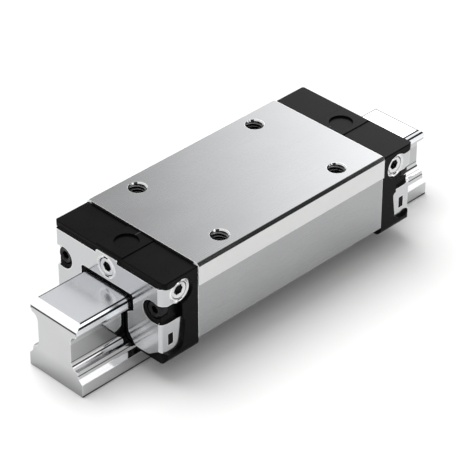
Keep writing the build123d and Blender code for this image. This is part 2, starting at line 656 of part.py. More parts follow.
def build():
    """Every node's name with its solid or group of solids."""
    nodes = {
        "rail": make_rail(),
        "cover_strip": make_cover_strip(),
        "block_body": make_body(),
        "upper_retainer": make_upper_retainer(),
    }
    sided = {
        "raceway_insert": make_raceway_insert(),
        "middle_retainer": make_middle_retainer(),
        "lower_retainer": make_lower_retainer(),
        "side_seal": make_side_seal(),
        "balls_lower": make_balls(LOWER),
        "balls_upper": make_balls(UPPER),
    }
    for name, left in sided.items():
        nodes[name + "_left"], nodes[name + "_right"] = left_and_right(left)
    ended = {
        "turn_guides": make_turn_guides(),
        "lube_reservoir": make_reservoir(),
        "end_cap": make_end_cap(),
        "end_seal": make_end_seal(),
        "end_plate": make_end_plate(),
        "cap_screws": make_cap_screws(),
        "port_screws": make_port_screws(),
    }
    for name, rear in ended.items():
        nodes[name + "_rear"], nodes[name + "_front"] = with_both_ends(rear)
    return nodes


os.makedirs("parts", exist_ok=True)
for name, solid in build().items():
    solid.label = name
    export_step(solid, f"parts/{name}.step")
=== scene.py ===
"""Ball runner block on a guide rail: finishes, fine details and studio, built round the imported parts."""

import json
from math import cos, pi, radians, sin

import bmesh
import bpy
from bpy.props import FloatProperty, FloatVectorProperty, IntProperty, PointerProperty
from bpy.types import Operator, Panel, PropertyGroup
from mathutils import Matrix, Vector


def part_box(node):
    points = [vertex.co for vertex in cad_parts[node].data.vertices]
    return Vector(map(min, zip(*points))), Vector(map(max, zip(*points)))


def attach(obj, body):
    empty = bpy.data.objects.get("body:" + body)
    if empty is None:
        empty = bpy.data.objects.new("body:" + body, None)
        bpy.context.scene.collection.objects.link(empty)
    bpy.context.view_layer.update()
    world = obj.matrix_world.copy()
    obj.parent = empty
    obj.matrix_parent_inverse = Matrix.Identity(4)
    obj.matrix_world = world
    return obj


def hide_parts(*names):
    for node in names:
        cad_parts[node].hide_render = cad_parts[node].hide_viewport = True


bl_info = {
    "name": "Ball Runner Block",
    "version": (1, 0, 0),
    "blender": (4, 5, 0),
    "location": "View3D > Sidebar > Runner Block",
    "description": "Finishes a ball runner block on its rail and sets up the studio round it",
    "category": "Object",
}

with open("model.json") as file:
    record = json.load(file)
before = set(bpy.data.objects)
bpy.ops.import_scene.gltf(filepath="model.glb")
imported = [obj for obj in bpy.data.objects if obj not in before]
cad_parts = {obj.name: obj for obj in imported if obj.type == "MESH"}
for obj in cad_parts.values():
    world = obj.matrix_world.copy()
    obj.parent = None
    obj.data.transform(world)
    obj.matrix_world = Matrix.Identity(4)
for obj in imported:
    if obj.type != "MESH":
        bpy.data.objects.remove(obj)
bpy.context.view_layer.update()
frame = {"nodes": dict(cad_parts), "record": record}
MM = 0.001
CARRIAGE = "carriage"
ENDS = (("front", -1), ("rear", 1))
SIDES = ("left", "right")
SHARP_ANGLE = radians(35)


# Settings

def length(name, millimetres, description):
    return FloatProperty(name=name, description=description, default=millimetres * MM, min=0.0,
                         precision=5, unit="LENGTH", subtype="DISTANCE")


def colour(name, value, description):
    return FloatVectorProperty(name=name, description=description, default=value, min=0.0, max=1.0,
                               size=3, subtype="COLOR")


def share(name, value, description):
    return FloatProperty(name=name, description=description, default=value, min=0.0, max=1.0,
                         subtype="FACTOR")


class EdgeSettings(PropertyGroup):
    """How far the edges of each kind of piece are broken."""

    steel: length("Steel", 0.35, "Edge break of the square edges of the runner block's steel body")
    chamfer: length("Chamfer", 0.1, "Edge break along the steel body's chamfers")
    rail: length("Rail", 0.12, "Edge break of the ground rail")
    sheet: length("Sheet", 0.2, "Rolled edge of the stamped end plates")
    plastic: length("Plastic", 0.22, "Rounded edge of the moulded end caps")
    rubber: length("Rubber", 0.2, "Rounded edge of the end seals")


class FastenerSettings(PropertyGroup):
    """Fine sizes of threads, screws and balls."""

    thread_pitch: length("Mount pitch", 1.0, "Thread pitch in the four mounting holes")
    thread_depth: length("Mount thread depth", 0.5, "Depth of the mounting holes' thread")
    ring_height: length("Port ring", 0.18, "Height of the raised ring pressed round each port")
    socket_round: length("Socket mouth", 0.25, "Chamfer at the mouth of each hexagon socket")
    rim_chamfer: length("Screw rim", 0.35, "Chamfer round the face of each screw")
    ball: length("Ball", 4.762, "Diameter of the balls")
    knurls: IntProperty(name="Knurls", description="Teeth round each cap screw's head",
                        default=30, min=8, max=60)


class FinishSettings(PropertyGroup):
    """Colours of the finishes."""

    ground_steel: colour("Ground steel", (0.375, 0.378, 0.384), "Ground faces of the runner block")
    # The bands' matt finish is real; their lighter tone is a painted highlight
    matt_band_highlight: colour("Ground band", (0.69, 0.69, 0.69), "Matt bands along the top of both sides")
    rail_steel: colour("Rail steel", (0.56, 0.562, 0.57), "Ground and hardened rail")
    polished_sheet: colour("Polished sheet", (0.535, 0.54, 0.55), "End plates")
    screw_steel: colour("Screw steel", (0.66, 0.66, 0.665), "Port screws and balls")
    # Its dark tone is painted shade in the sockets, and a painted highlight on the threads' upper flanks
    socket_steel: colour("Socket steel", (0.2, 0.2, 0.205), "Inside of the port screws' sockets")
    cover_sheet: colour("Cover strip", (0.82, 0.835, 0.865), "Bright strip over the rail's head")
    black_oxide: colour("Black oxide", (0.012, 0.0125, 0.014), "Cap screws")
    cap_plastic: colour("Cap plastic", (0.002, 0.002, 0.0021), "Moulded end caps")
    inner_plastic: colour("Inner plastic", (0.05, 0.05, 0.055), "Ball retainers and turn guides")
    rubber: colour("Rubber", (0.002, 0.002, 0.003), "End seals and side seals")
    foam: colour("Foam", (0.42, 0.37, 0.26), "Oiled foam reservoirs")


class StudioSettings(PropertyGroup):
    """The floor and the lights."""

    floor: colour("Floor", (0.86, 0.86, 0.855), "Colour of the floor")
    world: share("World", 0.67, "Light of the white room")
    key: FloatProperty(name="Key", description="Power of the overhead softbox",
                       default=29.0, min=0.0, unit="POWER")
    card_slope: FloatProperty(name="Card slope", default=15.0, min=0.0,
                              description="How much the far card brightens to the right, per metre")
    card_tilt: share("Card tilt", 0.36, "How fast the far card darkens upwards, as a share of its slope")
    card_middle: FloatProperty(name="Card middle", description="Brightness at the middle of the far card",
                               default=1.48, min=0.0)


class RunnerBlockSettings(PropertyGroup):
    """Every setting of the runner block."""

    edges: PointerProperty(type=EdgeSettings)
    fasteners: PointerProperty(type=FastenerSettings)
    finishes: PointerProperty(type=FinishSettings)
    studio: PointerProperty(type=StudioSettings)


def settings():
    return bpy.context.scene.runner_block


# Materials

def feed(tree, socket, value):
    """Links an output to a socket, or sets the socket to a plain value."""
    if isinstance(value, bpy.types.NodeSocket):
        tree.links.new(value, socket)
    else:
        socket.default_value = value


def add_node(tree, kind, inputs=(), **options):
    """A shader node; inputs maps each socket to a value or to the output that feeds it."""
    made = tree.nodes.new(kind)
    for name, value in options.items():
        setattr(made, name, value)
    for socket, value in dict(inputs).items():
        feed(tree, made.inputs[socket], value)
    return made


def start_finish(name):
    """A new material, its node tree and its main shader."""
    material = bpy.data.materials.new(name)
    material.use_nodes = True
    tree = material.node_tree
    return material, tree, tree.nodes["Principled BSDF"]


def maths(tree, operation, first, second=0.0):
    return add_node(tree, "ShaderNodeMath", {0: first, 1: second}, operation=operation).outputs["Value"]


def unsigned(tree, value):
    """The value without its sign."""
    return maths(tree, "ABSOLUTE", value)


def spread(tree, value, low, high, source=(0.3, 0.7)):
    """Maps a value's source range onto the range from low to high. Noise mostly lies in the one given."""
    return add_node(tree, "ShaderNodeMapRange", {
        "Value": value, "From Min": source[0], "From Max": source[1], "To Min": low, "To Max": high,
    }).outputs["Result"]


def above(tree, value, low, high):
    """A mask that rises from 0 at low to 1 at high."""
    return spread(tree, value, 0.0, 1.0, (low, high))


def below(tree, value, low, high):
    """A mask that falls from 1 at low to 0 at high."""
    return spread(tree, value, 1.0, 0.0, (low, high))


def both(tree, first, second):
    """A mask where the two masks meet."""
    return maths(tree, "MULTIPLY", first, second)


def either(tree, first, second):
    """A mask where one or the other of two masks is."""
    return maths(tree, "MAXIMUM", first, second)


def outside(tree, mask):
    return maths(tree, "SUBTRACT", 1.0, mask)


def mix_colours(tree, factor, first, second):
    """The first colour where factor is 0, and the second where it is 1."""
    made = add_node(tree, "ShaderNodeMix", data_type="RGBA")
    for identifier, value in (("Factor_Float", factor), ("A_Color", first), ("B_Color", second)):
        feed(tree, next(s for s in made.inputs if s.identifier == identifier), value)
    return next(s for s in made.outputs if s.identifier == "Result_Color")


def noise(tree, cells, detail=2.0):
    """Noise with this many cells to a metre along X, Y and Z."""
    place = add_node(tree, "ShaderNodeTexCoord").outputs["Object"]
    stretched = add_node(tree, "ShaderNodeMapping", {"Vector": place, "Scale": cells})
    return add_node(tree, "ShaderNodeTexNoise",
                    {"Vector": stretched.outputs["Vector"], "Scale": 1.0, "Detail": detail}).outputs["Fac"]


def parts_of(tree, vector):
    """A vector's X, Y and Z."""
    return add_node(tree, "ShaderNodeSeparateXYZ", {0: vector}).outputs


def place_of(tree):
    """Where a point lies on its piece, in metres."""
    return parts_of(tree, add_node(tree, "ShaderNodeTexCoord").outputs["Object"])


def facing_of(tree):
    """The way that the surface faces."""
    return parts_of(tree, add_node(tree, "ShaderNodeNewGeometry").outputs["Normal"])


def straight(tree, part):
    """A mask on faces that look along an axis, found from their facing's part along it."""
    return above(tree, part, 0.9, 0.97)


def line_at(tree, place, middle, half_width):
    """A mask on a line round middle, whose edges fade out within 0.1 mm."""
    off = unsigned(tree, maths(tree, "SUBTRACT", place, middle))
    fade = 0.05 * MM
    return below(tree, off, half_width - fade, half_width + fade)


def edge_masks(tree, reach):
    """Masks on the edges across the rail and on those along it, found where the surface's normal differs
    from one smoothed over reach."""
    smooth = add_node(tree, "ShaderNodeBevel", {"Radius": reach}, samples=6).outputs["Normal"]
    flat = add_node(tree, "ShaderNodeNewGeometry").outputs["Normal"]
    match = add_node(tree, "ShaderNodeVectorMath", {0: smooth, 1: flat}, operation="DOT_PRODUCT")
    edge = below(tree, match.outputs["Value"], 0.86, 0.999)
    across = above(tree, unsigned(tree, parts_of(tree, smooth)["X"]), 0.05, 0.15)
    return both(tree, edge, across), both(tree, edge, outside(tree, across))


def bump(tree, height, depth, strength, normal=None):
    inputs = {"Height": height, "Distance": depth, "Strength": strength}
    if normal:
        inputs["Normal"] = normal
    return add_node(tree, "ShaderNodeBump", inputs).outputs["Normal"]


def shade(value, amount):
    """A colour with alpha, scaled by amount."""
    return (*[min(1.0, part * amount) for part in value], 1.0)


def paint_over(tree, shader, layers):
    """Lays tones over a finish's colour one after another, each where its own mask is."""
    base = shader.inputs["Base Color"].links[0].from_socket
    for mask, tone in layers:
        base = mix_colours(tree, mask, base, tone)
    tree.links.new(base, shader.inputs["Base Color"])


def ground_metal(name, tone, roughness, lines, wander=0.04, depth=0.0004, edge_highlight=1.5, lengthwise_edge_shading=1.5, reach=0.35):
    """Ground steel: fine lines along one direction, cloudy polish, a painted highlight on the edges across
    the rail, and painted highlight or painted shade on those along it, each scaled by its own factor.
    The lines' depth and the edges' reach are in mm."""
    material, tree, shader = start_finish(name)
    fine = noise(tree, lines, 3.0)
    cloud = noise(tree, (55, 90, 90), 2.0)
    at_ends, along_rail = edge_masks(tree, reach * MM)
    clouded = mix_colours(tree, spread(tree, cloud, 0.0, 1.0), shade(tone, 0.975), shade(tone, 1.02))
    lined = mix_colours(tree, spread(tree, fine, 0.0, 0.25), clouded, shade(tone, 0.97))
    # Painted shade or highlight on the edges along the rail, and a painted highlight on those across it
    creased = mix_colours(tree, along_rail, lined, shade(tone, lengthwise_edge_shading))
    shader.inputs["Metallic"].default_value = 1.0
    tree.links.new(mix_colours(tree, at_ends, creased, shade(tone, edge_highlight)), shader.inputs["Base Color"])
    rough = maths(tree, "ADD", spread(tree, fine, roughness - wander, roughness + wander),
                  spread(tree, cloud, -wander / 2, wander / 2))
    tree.links.new(rough, shader.inputs["Roughness"])
    tree.links.new(bump(tree, fine, depth * MM, 0.5), shader.inputs["Normal"])
    return material, tree, shader


# Height of the steel body's side bands, and width of the chamfers along its top
BAND_HEIGHT = 7.7 * MM
TOP_CHAMFER = 0.9 * MM


def block_steel():
    """Ground steel: the side bands near the top are more matt, and lighter as a painted highlight; the
    chamfers along the top smoother, and darker as a painted reflection of shade; the end edges bright as a
    painted highlight;
    and the threaded holes dark as painted shade."""
    finishes = settings().finishes
    steel = finishes.ground_steel
    # The edges across the rail get a painted highlight, those along it painted shade
    material, tree, shader = ground_metal("ground_block_steel", steel, 0.25, (30, 6500, 6500), depth=0.00025,
                                          edge_highlight=2.7, lengthwise_edge_shading=0.5, reach=0.4)
    place, facing = place_of(tree), facing_of(tree)
    aside = unsigned(tree, place["Y"])
    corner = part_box("block_body")[1]
    band = corner.z - BAND_HEIGHT
    slope = corner.y + corner.z - TOP_CHAMFER
    banded = both(tree, straight(tree, unsigned(tree, facing["Y"])),
                  above(tree, place["Z"], band, band + 0.1 * MM))
    smooth_shaded_chamfer = above(tree, maths(tree, "ADD", aside, place["Z"]), slope - 0.14 * MM, slope - 0.06 * MM)
    hole_shade = both(tree, below(tree, facing["Z"], 0.3, 0.9), below(tree, aside, 21.5 * MM, 22 * MM))
    end_edge_highlight = above(tree, unsigned(tree, facing["X"]), 0.15, 0.35)
    rough = shader.inputs["Roughness"].links[0].from_socket
    for mask, change in ((banded, 0.3), (smooth_shaded_chamfer, -0.15), (end_edge_highlight, 0.5)):
        rough = maths(tree, "ADD", rough, maths(tree, "MULTIPLY", mask, change))
    tree.links.new(rough, shader.inputs["Roughness"])
    # Painted light by place: the lighter bands, the darker chamfers, the bright end edges and the shaded
    # holes
    paint_over(tree, shader, ((banded, shade(finishes.matt_band_highlight, 1.0)), (smooth_shaded_chamfer, shade(steel, 0.8)),
                              (end_edge_highlight, shade(steel, 2.6)), (hole_shade, shade(steel, 0.12))))
    return material


def thread_steel():
    """Very dark steel of a cut thread's lower flanks and crests: painted shade inside the holes, with a
    painted highlight on its edges.
    """
    tone = shade(settings().finishes.ground_steel, 0.06)[:3]
    return ground_metal("cut_thread_steel", tone, 0.22, (1500, 1500, 4000), edge_highlight=6.0, lengthwise_edge_shading=6.0,
                        reach=0.12)[0]


# Height and half width, in mm, of the painted shade lines along the rail: on the lower groove's rim, in the
# groove, under it and at the foot. The same for the waist, darker as a painted reflection of shade.
RAIL_SHADE_LINES = ((10.6, 0.14), (9.2, 0.2), (6.9, 0.16), (0.25, 0.32))
RAIL_WAIST_SHADE = (13.8, 3.0)


def rail_steel():
    """Ground steel with painted shade by place: the waist darker as a painted reflection of shade, dark
    lines along the rail and under the strip at both ends, dark edges along the rail and bright ones across
    it, and end faces painted darker towards the floor."""
    tone = settings().finishes.rail_steel
    material, tree, shader = ground_metal("ground_rail_steel", tone, 0.1, (25, 6000, 6000), wander=0.03,
                                          depth=0.0003, lengthwise_edge_shading=0.04, reach=0.5)
    height = place_of(tree)["Z"]
    at_ends = above(tree, unsigned(tree, facing_of(tree)["X"]), 0.85, 0.95)
    lengthways = outside(tree, at_ends)
    end_floor_shade = both(tree, at_ends, below(tree, height, 0.0, 8.0 * MM))
    waist = both(tree, line_at(tree, height, *(size * MM for size in RAIL_WAIST_SHADE)), lengthways)
    strip_gap_shadow = both(tree, line_at(tree, height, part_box("cover_strip")[1].z - 2.2 * MM, 0.4 * MM), at_ends)
    lines = 0.0
    for middle, half_width in RAIL_SHADE_LINES:
        lines = either(tree, lines, line_at(tree, height, middle * MM, half_width * MM))
    # Painted shade laid by place: the end faces towards the floor, the waist, the gap under the strip and
    # the lines along the rail
    paint_over(tree, shader, ((end_floor_shade, shade(tone, 0.6)), (waist, shade(tone, 0.8)), (strip_gap_shadow, shade(tone, 0.05)),
                              (both(tree, lines, lengthways), shade(tone, 0.05))))
    return material


def sheet_steel(name, tone, roughness, lines, scratched, edge_highlight, wander):
    """Polished sheet: slight waves in the surface, hairline scratches whose tone is scaled by scratched, and
    a painted highlight on the edges, whose tone is scaled by its own factor. The roughness varies by wander,
    a share of itself."""
    material, tree, shader = start_finish(name)
    waves = noise(tree, (70, 70, 70), 1.0)
    scratches = noise(tree, lines, 4.0)
    edge_wear_and_highlight = maths(tree, "ADD", *edge_masks(tree, 0.45 * MM))
    base = mix_colours(tree, spread(tree, scratches, 0.0, 0.4), shade(tone, 1.0), shade(tone, scratched))
    shader.inputs["Metallic"].default_value = 1.0
    tree.links.new(mix_colours(tree, edge_wear_and_highlight, base, shade(tone, edge_highlight)), shader.inputs["Base Color"])
    tree.links.new(spread(tree, scratches, roughness * (1 - wander), roughness * (1 + wander)),
                   shader.inputs["Roughness"])
    waved = bump(tree, waves, 0.02 * MM, 0.35)
    tree.links.new(bump(tree, scratches, 0.001 * wander * MM, 0.3, waved), shader.inputs["Normal"])
    return material, tree, shader


def end_plate_steel():
    """Polished sheet with a painted reflection low beside the rail's foot, brighter there: on the right seen
    from outside, at both ends. Its edges get a painted highlight.
    """
    tone = settings().finishes.polished_sheet
    material, tree, shader = sheet_steel("polished_end_plate", tone, 0.17, (900, 2600, 2600), scratched=0.93,
                                         edge_highlight=2.2, wander=0.3)
    place, facing = place_of(tree), facing_of(tree)
    front = straight(tree, unsigned(tree, facing["X"]))
    aside = maths(tree, "MULTIPLY", facing["X"], place["Y"])
    low = below(tree, place["Z"], 16 * MM, 21 * MM)
    foot_reflection = both(tree, above(tree, aside, 10.5 * MM, 16 * MM), low)
    # Painted reflection of the rail's foot, brighter on the plate's lower front
    paint_over(tree, shader, ((both(tree, front, foot_reflection), shade(tone, 1.55)),))
    return material


def cover_strip_steel():
    """Bright sheet with a painted highlight on its end slopes, painted shade on its tips, painted shade
    lines along the creases where it turns down the rail's head, and a thin painted shade line where it bends
    at the far end."""
    tone = settings().finishes.cover_sheet
    material, tree, shader = sheet_steel("bright_cover_strip", tone, 0.22, (25, 2500, 2500), scratched=0.985,
                                         edge_highlight=1.6, wander=0.06)
    place, facing = place_of(tree), facing_of(tree)
    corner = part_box("cover_strip")[1]
    upper = line_at(tree, unsigned(tree, place["Y"]), corner.y - 0.88 * MM, 0.23 * MM)
    lower = line_at(tree, place["Z"], corner.z - 1.15 * MM, 0.32 * MM)
    far_bend_shade = both(tree, line_at(tree, place["X"], corner.x - 2.6 * MM, 0.3 * MM),
                    straight(tree, facing["Z"]))
    endways = unsigned(tree, facing["X"])
    crease_shade = both(tree, either(tree, upper, lower), below(tree, endways, 0.2, 0.4))
    tip_shade = straight(tree, endways)
    slope_highlight = above(tree, endways, 0.3, 0.5)
    # A painted highlight on the end slopes, and painted shade on the far bend, the creases and the tips
    paint_over(tree, shader, ((slope_highlight, shade(tone, 1.2)), (far_bend_shade, shade(tone, 0.24)),
                              (either(tree, crease_shade, tip_shade), shade(tone, 0.02))))
    return material


def moulded_plastic(name, tone, roughness, grain=0.006, gloss=0.06):
    """Moulded plastic: fine spark texture, grain mm deep, and cloudy gloss, duller on its edges and on the
    chamfers along its top."""
    material, tree, shader = start_finish(name)
    pits = noise(tree, (4500, 4500, 4500), 2.0)
    cloud = noise(tree, (120, 120, 120), 3.0)
    clouded = mix_colours(tree, spread(tree, cloud, 0.0, 1.0), shade(tone, 0.85), shade(tone, 1.2))
    tree.links.new(clouded, shader.inputs["Base Color"])
    facing = facing_of(tree)
    slanted = maths(tree, "ADD", unsigned(tree, facing["Y"]), facing["Z"])
    dull = maths(tree, "ADD", maths(tree, "ADD", *edge_masks(tree, 0.4 * MM)),
                 spread(tree, slanted, 0.0, 1.7, (1.3, 1.38)))
    tree.links.new(spread(tree, dull, gloss, gloss * 0.4, (0.0, 1.0)), shader.inputs["Specular IOR Level"])
    rough = maths(tree, "ADD", spread(tree, cloud, roughness - 0.05, roughness + 0.05),
                  spread(tree, pits, -0.04, 0.04))
    tree.links.new(rough, shader.inputs["Roughness"])
    tree.links.new(bump(tree, pits, grain * MM, 0.6), shader.inputs["Normal"])
    return material


def cap_plastic():
    return moulded_plastic("moulded_cap_plastic", settings().finishes.cap_plastic, 0.3, gloss=0.055)


def inner_plastic():
    return moulded_plastic("moulded_inner_plastic", settings().finishes.inner_plastic, 0.45)


def seal_rubber():
    return moulded_plastic("seal_rubber_black", settings().finishes.rubber, 0.4, grain=0.003, gloss=0.02)


def black_oxide():
    """Blackened screw steel with a faint bloom and bare corners."""
    tone = settings().finishes.black_oxide
    material, tree, shader = start_finish("black_oxide_steel")
    bloom = noise(tree, (900, 900, 900), 4.0)
    edge_wear_and_highlight = edge_masks(tree, 0.15 * MM)[0]
    base = mix_colours(tree, spread(tree, bloom, 0.0, 1.0), shade(tone, 0.7), shade(tone, 1.5))
    shader.inputs["Metallic"].default_value = 0.85
    tree.links.new(mix_colours(tree, edge_wear_and_highlight, base, shade(tone, 5.0)), shader.inputs["Base Color"])
    tree.links.new(spread(tree, bloom, 0.28, 0.45), shader.inputs["Roughness"])
    tree.links.new(bump(tree, bloom, 0.004 * MM, 0.4), shader.inputs["Normal"])
    return material


def bright_screw_steel():
    tone = settings().finishes.screw_steel
    return ground_metal("bright_screw_steel", tone, 0.16, (2500, 2500, 2500), reach=0.12)[0]


# Darker steel as painted shade inside the port screws' sockets, with a painted highlight on its edges; the
# mount threads' upper flanks take it as a painted highlight, lighter than the thread finish
def socket_steel():
    tone = settings().finishes.socket_steel
    return ground_metal("dark_socket_steel", tone, 0.25, (2500, 2500, 2500), edge_highlight=3.0, lengthwise_edge_shading=3.0,
                        reach=0.1)[0]


def bearing_steel():
    tone = settings().finishes.screw_steel
    return ground_metal("bearing_steel", tone, 0.06, (1500, 1500, 1500), wander=0.02, depth=0.0003)[0]


def soft_foam():
    """Open cell foam, wet with oil in patches."""
    tone = settings().finishes.foam
    material, tree, shader = start_finish("oiled_foam")
    place = add_node(tree, "ShaderNodeTexCoord").outputs["Object"]
    cells = add_node(tree, "ShaderNodeTexVoronoi", {"Vector": place, "Scale": 2200.0}).outputs["Distance"]
    wet = noise(tree, (200, 200, 200), 3.0)
    base = mix_colours(tree, spread(tree, wet, 0.0, 1.0), shade(tone, 1.0), shade(tone, 0.55))
    tree.links.new(mix_colours(tree, spread(tree, cells, 0.7, 0.0, (0.0, 0.4)), base, shade(tone, 0.25)),
                   shader.inputs["Base Color"])
    tree.links.new(spread(tree, wet, 0.85, 0.45), shader.inputs["Roughness"])
    tree.links.new(bump(tree, cells, 0.15 * MM, 0.8), shader.inputs["Normal"])
    return material


MAKERS = {
    "block": block_steel,
    "rail": rail_steel,
    "plate": end_plate_steel,
    "strip": cover_strip_steel,
    "thread": thread_steel,
    "bright": bright_screw_steel,
    "socket": socket_steel,
    "ball": bearing_steel,
    "oxide": black_oxide,
    "cap": cap_plastic,
    "inner": inner_plastic,
    "rubber": seal_rubber,
    "foam": soft_foam,
}
made_finishes = {}


def finish(name):
    """The named finish, made when it is first asked for."""
    if name not in made_finishes:
        made_finishes[name] = MAKERS[name]()
    return made_finishes[name]


# Pieces carried over from the CAD frame

WELD_DISTANCE = 0.0005 * MM
FLAT_ANGLE = radians(0.5)

# Edges that turn by at least this many degrees count as sharp, and as square
SHARP_TURN = 28
SQUARE_TURN = 60


def dress(node, finish_name, edge=0.0, square_edge=0.0):
    """Gives a CAD node its finish and breaks its sharp edges by modifiers, its square ones first where
    square_edge is given. Its own mesh stays as it is."""
    piece = frame["nodes"][node]
    piece.material_slots[0].material = finish(finish_name)
    if not edge:
        return
    weld = piece.modifiers.new("weld", "WELD")
    weld.merge_threshold = WELD_DISTANCE
    planar = piece.modifiers.new("planar", "DECIMATE")
    planar.decimate_type = "DISSOLVE"
    planar.angle_limit = FLAT_ANGLE
    if square_edge:
        break_edges(piece, square_edge, SQUARE_TURN, segments=4)
    break_edges(piece, edge, SHARP_TURN, segments=2)
    smooth = piece.modifiers.new("face weighted", "WEIGHTED_NORMAL")
    smooth.weight = 50


def break_edges(piece, width, least_turn, segments):
    """Rounds the edges that turn by at least this many degrees."""
    bevel = piece.modifiers.new("edge break", "BEVEL")
    bevel.width = width
    bevel.segments = segments
    bevel.limit_method = "ANGLE"
    bevel.angle_limit = radians(least_turn)
    bevel.use_clamp_overlap = True
    bevel.miter_outer = "MITER_ARC"


def dress_ends(stem, finish_name, edge=0.0):
    for end, _ in ENDS:
        dress(f"{stem}_{end}", finish_name, edge)


def dress_sides(stem, finish_name, edge=0.0):
    for side in SIDES:
        dress(f"{stem}_{side}", finish_name, edge)


# Meshes made here

def new_piece(name, shape, finish_names, replaced=()):
    """Puts a made shape in the scene with its finishes, riding on the carriage in place of the replaced
    nodes."""
    piece = bpy.data.objects.new(name, mesh_from(shape, name))
    bpy.context.scene.collection.objects.link(piece)
    for finish_name in finish_names:
        piece.data.materials.append(finish(finish_name))
    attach(piece, CARRIAGE)
    if replaced:
        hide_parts(*replaced)


def mesh_from(shape, name):
    """Turns a bmesh into a mesh, smooth except at its sharp edges."""
    bmesh.ops.recalc_face_normals(shape, faces=shape.faces)
    for face in shape.faces:
        face.smooth = True
    for edge in shape.edges:
        edge.smooth = len(edge.link_faces) == 2 and edge.calc_face_angle() < SHARP_ANGLE
    mesh = bpy.data.meshes.new(name)
    shape.to_mesh(mesh)
    shape.free()
    return mesh


# Each ring gives the distance from the centre to its outline at a given turn.

def round_ring(radius):
    return lambda turn: radius


def hexagon_ring(across_flats):
    return lambda turn: across_flats / 2 / cos((turn % (pi / 3)) - pi / 6)


def knurled_ring(radius, teeth, depth):
    return lambda turn: radius - depth * (0.5 + 0.5 * cos(turn * teeth))


def hexagon_corner(across_flats):
    """Distance from a hexagon's centre to its corners."""
    return across_flats / 2 / cos(pi / 6)


def add_collar(shape, profile, place, second_finish=lambda turn: False):
    """Adds a turned collar from its closed profile of (radius, height), in its second finish at the turns
    that second_finish picks."""
    steps = 60
    loops = []
    for radius, height in profile + profile[:1]:
        loop = loops[0] if len(loops) == len(profile) else [
            shape.verts.new(place @ Vector((radius * cos(turn), radius * sin(turn), height)))
            for turn in (2 * pi * i / steps for i in range(steps))]
        loops.append(loop)
    for first, second in zip(loops, loops[1:]):
        for i in range(steps):
            j = (i + 1) % steps
            face = shape.faces.new((first[i], first[j], second[j], second[i]))
            face.material_index = int(second_finish(2 * pi * i / steps))


def add_turned(shape, rings, place, steps=60, second_from=None):
    """Adds a closed turned form from rings of (distance along the axis, outline), in its second finish from
    the ring number second_from on."""
    loops = []
    for along, outline in rings:
        loops.append([
            shape.verts.new(place @ Vector((outline(turn) * cos(turn), outline(turn) * sin(turn), along)))
            for turn in (2 * pi * i / steps for i in range(steps))])
    for index, (first, second) in enumerate(zip(loops, loops[1:])):
        for i in range(steps):
            j = (i + 1) % steps
            face = shape.faces.new((first[i], first[j], second[j], second[i]))
            face.material_index = 1 if second_from is not None and index >= second_from else 0
    shape.faces.new(loops[0])
    last = shape.faces.new(loops[-1])
    last.material_index = 0 if second_from is None else 1


def looking_along(axis, centre):
    """Places a turned form with its axis along the given direction and its origin at centre."""
    return Matrix.Translation(centre) @ Vector(axis).to_track_quat("Z", "Y").to_matrix().to_4x4()


# Which side of a thread's section looks up, counted from the lower flank as 0; it takes a lighter finish as
# a painted highlight
UPPER_FLANK = 2


def add_thread(shape, place, radius, crest, pitch, start, turns):
    """Adds a helical ridge inside a hole, from its radius in to crest, with its upper flank in the third
    finish, lighter as a painted highlight. It fades in and out over a third of a turn."""
    steps = 48
    flank = pitch * 0.42
    tip = pitch * 0.14
    rooted = radius + 0.03 * MM
    previous = None
    count = int(turns * steps)
    for i in range(count + 1):
        turn = 2 * pi * i / steps
        rise = start + pitch * i / steps
        fade = min(1.0, i / (steps / 3), (count - i) / (steps / 3))
        peak = radius + (crest - radius) * max(fade, 0.02)
        section = [(rooted, rise - flank), (peak, rise - tip), (peak, rise + tip), (rooted, rise + flank)]
        loop = [shape.verts.new(place @ Vector((r * cos(turn), r * sin(turn), z))) for r, z in section]
        if previous:
            for j in range(4):
                face = shape.faces.new((previous[j], previous[(j + 1) % 4], loop[(j + 1) % 4], loop[j]))
                face.material_index = 2 if j == UPPER_FLANK else 0
        else:
            shape.faces.new(loop)
        previous = loop
    shape.faces.new(previous)


def islands(node):
    """Lowest and highest corner of each separate solid in a CAD node."""
    shape = bmesh.new()
    shape.from_mesh(frame["nodes"][node].data)
    bmesh.ops.remove_doubles(shape, verts=shape.verts, dist=2 * WELD_DISTANCE)
    seen = set()
    for vert in shape.verts:
        if vert in seen:
            continue
        group, waiting = [], [vert]
        seen.add(vert)
        while waiting:
            current = waiting.pop()
            group.append(current.co)
            for edge in current.link_edges:
                other = edge.other_vert(current)
                if other not in seen:
                    seen.add(other)
                    waiting.append(other)
        low = Vector(min(co[i] for co in group) for i in range(3))
        high = Vector(max(co[i] for co in group) for i in range(3))
        yield low, high
    shape.free()


# Operators

class RUNNER_OT_rail(Operator):
    """Finish the guide rail and its cover strip"""

    bl_idname = "runner_block.rail"
    bl_label = "Guide rail"

    def execute(self, context):
        dress("rail", "rail", settings().edges.rail)
        dress("cover_strip", "strip")
        return {"FINISHED"}


THREAD_BOTTOM = -7.6 * MM
THREAD_TURNS = 6.4

# Width of the bevel round a mounting hole's mouth, as a share of the thread's depth, and the start and size,
# in radians, of the two arcs painted bright as painted highlights; the rest of the bevel is painted shade
MOUTH_BEVEL = 0.8
HIGHLIGHT_ARCS = ((-0.9, 1.65), (1.2, 0.4))


def mouth_has_highlight(turn):
    return any((turn - start) % (2 * pi) < size for start, size in HIGHLIGHT_ARCS)


